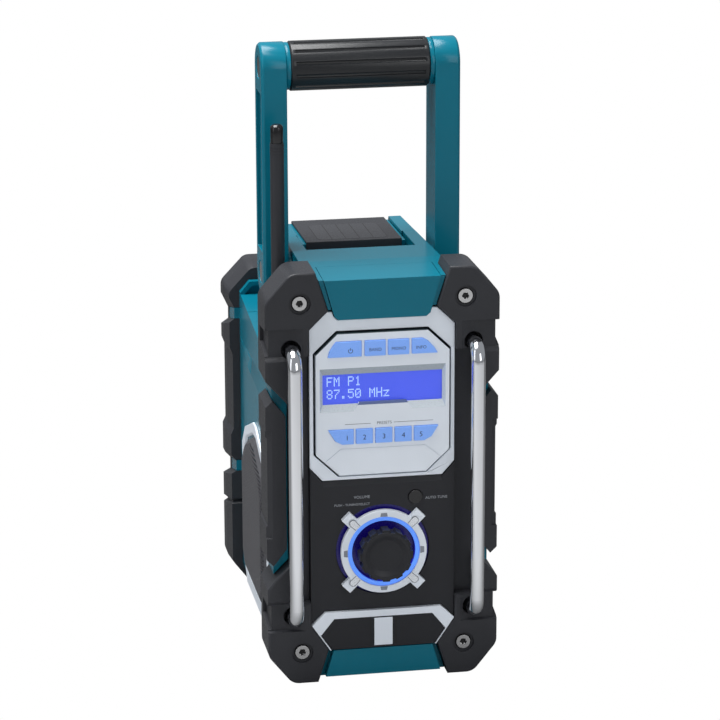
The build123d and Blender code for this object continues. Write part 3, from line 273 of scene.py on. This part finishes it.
def soften(obj, width):
    """Rounds the moulded edges of a solid, as a mould would."""
    weld = obj.modifiers.new("weld", "WELD")
    weld.merge_threshold = 0.00002
    flat = obj.modifiers.new("flat", "DECIMATE")
    flat.decimate_type = "DISSOLVE"
    flat.angle_limit = math.radians(1.0)
    bevel = obj.modifiers.new("bevel", "BEVEL")
    bevel.width = width * MM
    bevel.segments = 2
    bevel.limit_method = "ANGLE"
    bevel.angle_limit = math.radians(32.0)
    bevel.use_clamp_overlap = True
    bevel.harden_normals = True
    bevel.miter_outer = "MITER_ARC"


# width of the rounded edges in millimetres; a node that isn't named keeps its own edges
SOFTEN = {
    "front_cabinet": 0.7, "rear_cabinet": 0.7, "deck": 0.45, "socket_box": 0.3, "lower_lip": 0.5,
    "crown": 0.5, "lower_plate": 0.4, "front_panel": 0.4, "display_bezel": 0.4, "arch_trim": 0.35,
    "input_flap": 0.5, "flap_tab": 0.3, "front_guard_left": 1.3, "front_guard_right": 1.3,
    "rear_guard_left": 1.3, "rear_guard_right": 1.3, "side_pad_left": 0.9, "side_pad_right": 0.9,
    "speaker_frame_left": 0.4, "speaker_frame_right": 0.4, "handle_arm_left": 0.5,
    "handle_arm_right": 0.5, "knob": 0.5, "knob_ring": 0.45, "light_ring": 0.25, "battery_door": 0.4,
    "latch": 0.5, "latch_pad": 0.6, "tune_button": 0.5, "antenna_base": 0.6, "antenna_cap": 0.4,
    "guard_screws": 0.35, "grip_screws": 0.4, "pivot_bolts": 0.4, "grip_core": 0.5, "grip_sleeve": 0.3,
    "socket_plate": 0.3, "input_sockets": 0.2, "battery_terminal": 0.5,
}
KEY_ROUNDING = 0.35
for n in range(1, 5):
    SOFTEN[f"button_{n}"] = KEY_ROUNDING
for n in range(1, 6):
    SOFTEN[f"preset_{n}"] = KEY_ROUNDING
for name, obj in nodes.items():
    paint(obj, OWN_FINISH.get(name) or BY_SLOT[slot_of[name]])
    if name in SOFTEN:
        soften(obj, SOFTEN[name])


# ------------------------------------------------------------------ helpers for small pieces made here
def piece(name, verts, faces, mat, slot, body="cabinet"):
    """Mesh in millimetres that rides on a body, with the finish it is given; its slot is not used."""
    data = bpy.data.meshes.new(name)
    data.from_pydata([(x * MM, y * MM, z * MM) for x, y, z in verts], [], faces)
    data.validate()
    made = bpy.data.objects.new(name, data)
    scene.collection.objects.link(made)
    paint(made, mat)
    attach(made, body)
    return made


def closed(plates):
    """Closed plates, each between two outlines with the same number of points in space."""
    verts, faces = [], []
    for near, far in plates:
        base, n = len(verts), len(near)
        verts += near + far
        faces.append(list(range(base, base + n)))
        faces.append(list(range(base + 2 * n - 1, base + n - 1, -1)))
        for i in range(n):
            j = (i + 1) % n
            faces.append([base + i, base + n + i, base + n + j, base + j])
    return verts, faces


def prism_y(outlines, y0, y1):
    """Closed prisms from outlines in X and Z, between two depths."""
    return closed([([(x, y0, z) for x, z in points], [(x, y1, z) for x, z in points]) for points in outlines])


def drawn(outlines, face):
    """Thin marks from outlines in X and Z, on a face that looks to the front."""
    return prism_y(outlines, face - MARK_THICK, face)


def bar(x0, x1, z0, z1):
    return [(x0, z0), (x1, z0), (x1, z1), (x0, z1)]


def words(name, text, x, z, face, height, mat, body="cabinet", align="CENTER"):
    """Printed characters, thin as ink, on a face that looks to the front."""
    curve = bpy.data.curves.new(name, "FONT")
    curve.body = text
    curve.size = height * MM * 1.38
    curve.align_x = align
    curve.align_y = "CENTER"
    curve.extrude = 0.00001
    curve.resolution_u = 3
    made = bpy.data.objects.new(name, curve)
    made.location = (x * MM, (face - WORD_LIFT) * MM, z * MM)
    made.rotation_euler = (math.radians(90), 0, 0)
    scene.collection.objects.link(made)
    paint(made, mat)
    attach(made, body)


# ------------------------------------------------------------------ characters of the display
# dot by dot on a 5 x 7 grid
DOTS = {
    "F": ("11111", "10000", "10000", "11110", "10000", "10000", "10000"),
    "M": ("10001", "11011", "10101", "10101", "10001", "10001", "10001"),
    "P": ("11110", "10001", "10001", "11110", "10000", "10000", "10000"),
    "H": ("10001", "10001", "10001", "11111", "10001", "10001", "10001"),
    "z": ("00000", "00000", "11111", "00010", "00100", "01000", "11111"),
    "1": ("00100", "01100", "00100", "00100", "00100", "00100", "01110"),
    "8": ("01110", "10001", "10001", "01110", "10001", "10001", "01110"),
    "7": ("11111", "00001", "00010", "00100", "01000", "01000", "01000"),
    "5": ("11111", "10000", "11110", "00001", "00001", "10001", "01110"),
    "0": ("01110", "10001", "10011", "10101", "11001", "10001", "01110"),
    ".": ("00000", "00000", "00000", "00000", "00000", "01100", "01100"),
    " ": ("00000",) * 7,
}
TEXT_LEFT = -38.6
DOT_W, DOT_H = 0.82, 0.96      # step from dot to dot
CELL = 4.95                    # step from character to character
squares = []
for text, top in (("FM P1", 222.0), ("87.50 MHz", 213.0)):
    for place, letter in enumerate(text):
        for row, bits in enumerate(DOTS[letter]):
            for column, bit in enumerate(bits):
                if bit == "1":
                    x = TEXT_LEFT + place * CELL + column * DOT_W
                    z = top - row * DOT_H
                    squares.append(bar(x, x + DOT_W * 0.80, z - DOT_H * 0.86, z))
piece("display_characters", *prism_y(squares, -101.29, -101.22), lcd_white, "display_glass")


# ------------------------------------------------------------------ print on keys, panel and control area
def broken_ring(x, z, inner, outer):
    """Ring with a gap at its top, in short straight pieces; angles are in degrees from straight up."""
    first, sweep, steps = 35, 290, 23
    arc = []
    for i in range(steps + 1):
        turn = math.radians(first + sweep * i / steps)
        arc.append((math.sin(turn), math.cos(turn)))
    outlines = []
    for (sa, ca), (sb, cb) in zip(arc, arc[1:]):
        outlines.append([(x + inner * sa, z + inner * ca), (x + outer * sa, z + outer * ca),
                         (x + outer * sb, z + outer * cb), (x + inner * sb, z + inner * cb)])
    return outlines


for n, x in enumerate((-25.2, -13.0, 0.6, 14.2, 26.6), 1):
    words(f"digit_{n}", str(n), x, 178.9, KEY_FACE, 3.6, ink, f"preset_{n}")
# the word on the third key can't be read in the photo, so MONO is a guess
for n, text, x in ((2, "BAND", -5.35), (4, "INFO", 26.6), (3, "MONO", 10.95)):
    words(f"key_{n}", text, x, 241.4, KEY_FACE, 2.3, ink, f"button_{n}")
power = broken_ring(-22.6, 241.3, 1.25, 1.65)
power.append(bar(-22.8, -22.4, 241.5, 243.3))
piece("power_sign", *drawn(power, KEY_FACE), ink, "black_plastic", "button_1")
words("presets_word", "PRESETS", 1.0, 188.4, PANEL_FACE, 2.1, line_grey)
rules = [bar(-26.5, -8.6, 188.3, 188.6), bar(7.6, 35.2, 188.3, 188.6)]
piece("preset_rules", *drawn(rules, PANEL_FACE), line_grey, "black_plastic")
for name, text, x, z, height, align in (
    ("volume_word", "VOLUME", -9.0, 134.6, 2.1, "RIGHT"),
    ("tuning_word", "PUSH - TUNING/SELECT", -9.0, 129.4, 1.7, "RIGHT"),
    ("auto_word", "AUTO TUNE", 30.2, 131.4, 2.0, "LEFT"),
):
    words(name, text, x, z, CONTROL_FACE, height, ink_pale, align=align)


# ------------------------------------------------------------------ strips with painted light and shade at the display window
def frame_side(name, corners, mat):
    """Thin sloping side, a hair in front of the panel's own bevel. A corner marked 1 is at its foot."""
    near, far = [], []
    for x, z, deep in corners:
        y = WINDOW_FLOOR if deep else PANEL_FACE
        near.append((x, y - 0.06, z))
        far.append((x, y - 0.01, z))
    piece(name, *closed([(near, far)]), mat, "silver_plastic")


ox, oz0, oz1 = 43.9, 197.9, 228.8      # bevel's outer edge, on the panel's face: half-width, foot and head
ix, iz0, iz1 = 41.7, 202.8, 224.0      # its inner edge, at its foot: half-width, foot and head
gap_out, gap_in = 20.4, 17.3           # half-width that the tongue takes out of the lower side
# painted shade on the frame's top side, painted light on its lower sides, painted light and shade on its left
# and right sides
frame_side("window_top", [(-ox, oz1, 0), (-ix, iz1, 1), (ix, iz1, 1), (ox, oz1, 0)], bevel_painted_shade)
frame_side("window_left", [(-ox, oz0, 0), (-ix, iz0, 1), (-ix, iz1, 1), (-ox, oz1, 0)], bevel_painted_side_tone)
frame_side("window_right", [(ox, oz1, 0), (ix, iz1, 1), (ix, iz0, 1), (ox, oz0, 0)], bevel_painted_side_tone)
low_left = [(-ox, oz0, 0), (-gap_out, oz0, 0), (-gap_in, iz0, 1), (-ix, iz0, 1)]
frame_side("window_low_left", low_left, bevel_painted_light)
low_right = [(gap_out, oz0, 0), (ox, oz0, 0), (ix, iz0, 1), (gap_in, iz0, 1)]
frame_side("window_low_right", low_right, bevel_painted_light)

# painted shadow on the head of the tongue, on its face and on its upper side
half, head = 16.5, 204.0
tongue_head = [(-half, head), (half, head), (17.64, 202.1), (-17.64, 202.1)]
piece("tongue_shade", *drawn([tongue_head], PANEL_FACE), shade_blue, "silver_plastic")
tongue_lid = prism_y([bar(-half, half, head, 204.06)], PANEL_FACE - MARK_THICK, WINDOW_FLOOR)
piece("tongue_top", *tongue_lid, shade_blue, "silver_plastic")

# painted shade on the side wall of the display panel, in the bezel's shadow, above it and at its upper
# corners
edge_strips = [bar(-31.5, 31.5, 253.2, 253.26)]
for side in (-1, 1):
    slant = ((31.5, 253.2), (46.6, 238.7), (46.64, 238.74), (31.54, 253.24))
    edge_strips.append([(side * x, z) for x, z in slant])
piece("panel_edge", *prism_y(edge_strips, PANEL_FACE, -99.30), panel_edge_painted_shade, "silver_plastic")

# ------------------------------------------------------------------ speaker grilles
# a domed sheet with a lattice of hexagonal holes and a plain rim; the outline is in Y and Z
MESH_OUTLINE = [(56, 45), (56, 121), (43, 134), (8, 147.5), (-4, 147.5), (-39, 134), (-52, 121), (-52, 45),
                (-39, 31.5), (43, 31.5)]
MESH_EDGES = list(zip(MESH_OUTLINE, MESH_OUTLINE[1:] + MESH_OUTLINE[:1]))
MESH_X = 73.35             # x of the sheet along its outline
MESH_RISE = 4.75           # how far its middle stands out from there
MESH_SLOPE = 9.5           # width over which it rises
HOLE_MARGIN = 2.6          # least distance of a hole's middle from the outline
HOLE_SHARE = 0.74          # width of a hole as a share of its cell
twice_area = sum(ya * zb - yb * za for (ya, za), (yb, zb) in MESH_EDGES)
inward = 1.0 if twice_area > 0 else -1.0


def inside(y, z):
    """Distance in from the grille's outline."""
    best = 1e9
    for (ya, za), (yb, zb) in MESH_EDGES:
        dy, dz = yb - ya, zb - za
        best = min(best, ((z - za) * dy - (y - ya) * dz) / math.hypot(dy, dz) * inward)
    return best


def dome(y, z):
    t = max(0.0, min(1.0, inside(y, z) / MESH_SLOPE))
    return MESH_X + MESH_RISE * (1 - (1 - t) ** 1.7)


pitch = 2.6
corner = pitch / math.sqrt(3)
hexagon = [(corner * math.sin(math.pi * k / 3), corner * math.cos(math.pi * k / 3)) for k in range(6)]
lattice, index, cells = [], {}, []


def lattice_point(y, z):
    key = (round(y, 2), round(z, 2))
    if key not in index:
        index[key] = len(lattice)
        lattice.append((dome(y, z), y, z))
    return index[key]


for row in range(-60, 60):
    for column in range(-60, 60):
        y = SPEAKER_Y + (column + 0.5 * (row % 2)) * pitch
        z = SPEAKER_Z + row * corner * 1.5
        if inside(y, z) > HOLE_MARGIN:
            outer = [(y + a, z + b) for a, b in hexagon]
            inner = [(y + (a - y) * HOLE_SHARE, z + (b - z) * HOLE_SHARE) for a, b in outer]
            outer = [lattice_point(a, b) for a, b in outer]
            inner = [lattice_point(a, b) for a, b in inner]
            for k in range(6):
                m = (k + 1) % 6
                cells.append([outer[k], outer[m], inner[m], inner[k]])


def toward_middle(y, z, amount):
    """Outline point moved in by about amount."""
    r = math.hypot(y - SPEAKER_Y, z - SPEAKER_Z)
    return SPEAKER_Y + (y - SPEAKER_Y) * (1 - amount / r), SPEAKER_Z + (z - SPEAKER_Z) * (1 - amount / r)


for side, word in ((1, "right"), (-1, "left")):
    verts = [(side * x, y, z) for x, y, z in lattice]
    faces = [list(f) if side > 0 else list(reversed(f)) for f in cells]
    base = len(verts)
    count = len(MESH_OUTLINE)
    for amount, lift in ((0.3, 0.0), (4.6, 0.12)):
        for y, z in MESH_OUTLINE:
            a, b = toward_middle(y, z, amount)
            verts.append((side * (dome(a, b) + lift), a, b))
    for k in range(count):
        m = (k + 1) % count
        faces.append([base + k, base + m, base + count + m, base + count + k])
    grille = piece(f"grille_{word}", verts, faces, mesh_grey, "grille_metal")
    thick = grille.modifiers.new("thick", "SOLIDIFY")
    thick.thickness = 0.55 * MM
    thick.offset = -1.0 if side > 0 else 1.0
    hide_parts(f"speaker_grille_{word}")


# ------------------------------------------------------------------ screw sockets, knob ring and flap
def hexagon_mark(x, z, radius):
    turns = [2 * math.pi * i / 6 for i in range(6)]
    return [(x + radius * math.sin(turn), z + radius * math.cos(turn)) for turn in turns]


# painted shade: a dark hexagon at the bottom of the socket of each of the four front screws
hexagons = [hexagon_mark(side * 57.5, z, 2.5) for side in (-1, 1) for z in (23.1, 276.2)]
piece("front_socket_floors", *prism_y(hexagons, -102.9, -102.82), joint_black_and_painted_shade, "black_plastic")


def round_knob(shape, first):
    """Four copies of a shape round the knob, each point a distance out and a distance across."""
    outlines = []
    for i in range(4):
        turn = math.radians(first + 90 * i)
        out_x, out_z = math.sin(turn), math.cos(turn)
        across_x, across_z = math.cos(turn), -math.sin(turn)
        outlines.append([(r * out_x + a * across_x, KNOB_Z + r * out_z + a * across_z) for r, a in shape])
    return outlines


# inlays on the ring's arms with their dark outlines, and notches at its inner edge between the arms, the
# notches drawn in painted shade
INLAY = ((25.9, -1.9), (31.4, -2.3), (33.0, -1.2), (33.0, 1.2), (31.4, 2.3), (25.9, 1.9))
INLAY_EDGE = ((25.9, -2.3), (31.5, -2.7), (33.35, -1.35), (33.35, 1.35), (31.5, 2.7), (25.9, 2.3))
NOTCH = ((25.7, -2.6), (28.4, -2.1), (28.4, 2.1), (25.7, 2.6))
for name, shape, first, face, mat, slot in (
    ("ring_inlays", INLAY, 45, -108.66, inlay_silver, "silver_plastic"),
    ("ring_inlay_edges", INLAY_EDGE, 45, -108.58, line_grey, "black_plastic"),
    ("ring_notches", NOTCH, 0, -108.58, notch_painted_shade, "black_plastic"),
):
    piece(name, *prism_y(round_knob(shape, first), face, RING_SUNK), mat, slot)

# grooves of the flap beside its tab, drawn as dark strips of painted shade
grooves = [bar(-9.6, -8.6, 25.6, 44.8), bar(8.4, 9.4, 25.6, 44.8)]
piece("flap_grooves", *prism_y(grooves, -106.02, -105.98), joint_black_and_painted_shade, "black_plastic", "flap")


# ------------------------------------------------------------------ latch pad, deck seam and antenna
def on_pad(y, lift):
    """Height of the pad's sloping top, raised by lift."""
    return 290.07 - 0.02462 * (y - 8.0) + lift


def pad_sheet(outlines, low, high):
    """Thin plates on the pad's top from outlines in X and Y."""
    plates = []
    for points in outlines:
        upper = [(x, y, on_pad(y, high)) for x, y in points]
        lower = [(x, y, on_pad(y, low)) for x, y in points]
        plates.append((upper, lower))
    return closed(plates)


def rounded_box(x0, x1, y0, y1, radii):
    """Box outline with its own radius at each corner: front left, front right, back right, back left."""
    steps = 5
    points = []
    spots = ((x0, y0, 1, 1, 180), (x1, y0, -1, 1, 270), (x1, y1, -1, -1, 0), (x0, y1, 1, -1, 90))
    for (x, y, sx, sy, start), r in zip(spots, radii):
        if r <= 0:
            points.append((x, y))
            continue
        for k in range(steps + 1):
            a = math.radians(start + 90 * k / steps)
            points.append((x + sx * r + r * math.cos(a), y + sy * r + r * math.sin(a)))
    return points


# five fields a hair above the pad, over a dark sheet that shows between and round them
joint_sheet = [rounded_box(-25.4, 25.4, 12.6, 61.4, (4.4, 4.4, 4.4, 4.4))]
piece("pad_joints", *pad_sheet(joint_sheet, -0.05, 0.03), joint_black_and_painted_shade, "black_rubber", "latch")
half_joint = 0.25
fields = []
for k in range(5):
    x0 = -25.0 + 10 * k + (half_joint if k else 0)
    x1 = -15.0 + 10 * k - (half_joint if k < 4 else 0)
    left, right = (4.0 if k == 0 else 0), (4.0 if k == 4 else 0)
    fields.append(rounded_box(x0, x1, 13.0, 61.0, (left, right, right, left)))
piece("pad_fields", *pad_sheet(fields, 0.0, 0.10), pad_field, "black_rubber", "latch")

# painted shadow: dark bars in the seam between the deck and the battery door
seam_bars = [bar(*sorted((side * 39.2, side * 48.1)), 284.0, 289.55) for side in (-1, 1)]
piece("deck_seam", *prism_y(seam_bars, 28.02, 28.24), joint_black_and_painted_shade, "black_plastic")


def rings_z(x, y, bands):
    """Plain rings round a vertical axis, each with its inner and outer radius and its two heights."""
    sides = 40
    verts, faces = [], []
    for inner, outer, low, high in bands:
        base = len(verts)
        for r, z in ((inner, low), (outer, low), (outer, high), (inner, high)):
            for i in range(sides):
                a = 2 * math.pi * i / sides
                verts.append((x + r * math.cos(a), y + r * math.sin(a), z))
        for i in range(sides):
            j = (i + 1) % sides
            for k in range(4):
                here = base + k * sides
                after = base + (k + 1) % 4 * sides
                faces.append([here + i, here + j, after + j, after + i])
    return verts, faces


# rings under the antenna's cap
ring_bands = [(4.6, 4.95, z, z + 0.5) for z in (368.3, 370.4, 372.5)]
piece("antenna_rings", *rings_z(-63.0, -45.0, ring_bands), rubber, "black_rubber")

# ------------------------------------------------------------------ stage and light
# floor: white to the camera, and in gloss pale in front of the radio and dim beside and behind it
floor_mat = bpy.data.materials.new("floor")
floor_mat.use_nodes = True
ft = floor_mat.node_tree
ft.nodes.clear()
out = node(ft, "ShaderNodeOutputMaterial")
camera_mix = node(ft, "ShaderNodeMixShader")
gloss_mix = node(ft, "ShaderNodeMixShader")
matte = node(ft, "ShaderNodeBsdfDiffuse", Color=(0.50, 0.50, 0.51, 1.0))
dim = node(ft, "ShaderNodeBsdfDiffuse")
white = node(ft, "ShaderNodeEmission", Color=(1, 1, 1, 1), Strength=1.0)
paths = node(ft, "ShaderNodeLightPath")
link(ft, along_y(ft, -0.35, -0.05, 0.46, 0.14), "Result", dim, "Color")
link(ft, paths, "Is Camera Ray", camera_mix, "Fac")
link(ft, paths, "Is Glossy Ray", gloss_mix, "Fac")
link(ft, matte, "BSDF", gloss_mix, 1)
link(ft, dim, "BSDF", gloss_mix, 2)
link(ft, gloss_mix, "Shader", camera_mix, 1)
link(ft, white, "Emission", camera_mix, 2)
link(ft, camera_mix, "Shader", out, "Surface")
mesh = bpy.data.meshes.new("floor")
mesh.from_pydata([(-6, -6, 0), (6, -6, 0), (6, 6, 0), (-6, 6, 0)], [], [(0, 1, 2, 3)])
floor = bpy.data.objects.new("floor", mesh)
scene.collection.objects.link(floor)
floor.data.materials.append(floor_mat)

# world: white to the camera and through glass, a soft fill for everything else
world = bpy.data.worlds.new("studio")
scene.world = world
world.use_nodes = True
wt = world.node_tree
wt.nodes.clear()
w_out = node(wt, "ShaderNodeOutputWorld")
w_mix = node(wt, "ShaderNodeMixShader")
fill = node(wt, "ShaderNodeBackground", Color=(0.93, 0.96, 1.0, 1.0), Strength=0.34)
shown = node(wt, "ShaderNodeBackground", Color=(1, 1, 1, 1), Strength=1.0)
w_paths = node(wt, "ShaderNodeLightPath")
either = node(wt, "ShaderNodeMath", operation="MAXIMUM")
link(wt, w_paths, "Is Camera Ray", either, 0)
link(wt, w_paths, "Is Transmission Ray", either, 1)
link(wt, either, "Value", w_mix, "Fac")
link(wt, fill, "Background", w_mix, 1)
link(wt, shown, "Background", w_mix, 2)
link(wt, w_mix, "Shader", w_out, "Surface")

AIM = (0, 0, 0.2)          # point that every lamp looks at, in metres


def area(name, where, size, power):
    data = bpy.data.lights.new(name, "AREA")
    data.shape = "RECTANGLE"
    data.size, data.size_y = size
    data.energy = power
    lamp = bpy.data.objects.new(name, data)
    lamp.location = where
    lamp.rotation_euler = (Vector(AIM) - Vector(where)).to_track_quat("-Z", "Y").to_euler()
    scene.collection.objects.link(lamp)


area("top", (-0.45, 0.1, 1.9), (1.4, 1.1), 62.0)
area("left", (-1.8, -0.6, 0.9), (0.5, 1.6), 3.4)
area("front", (0.9, -2.2, 1.1), (1.2, 1.4), 11.0)
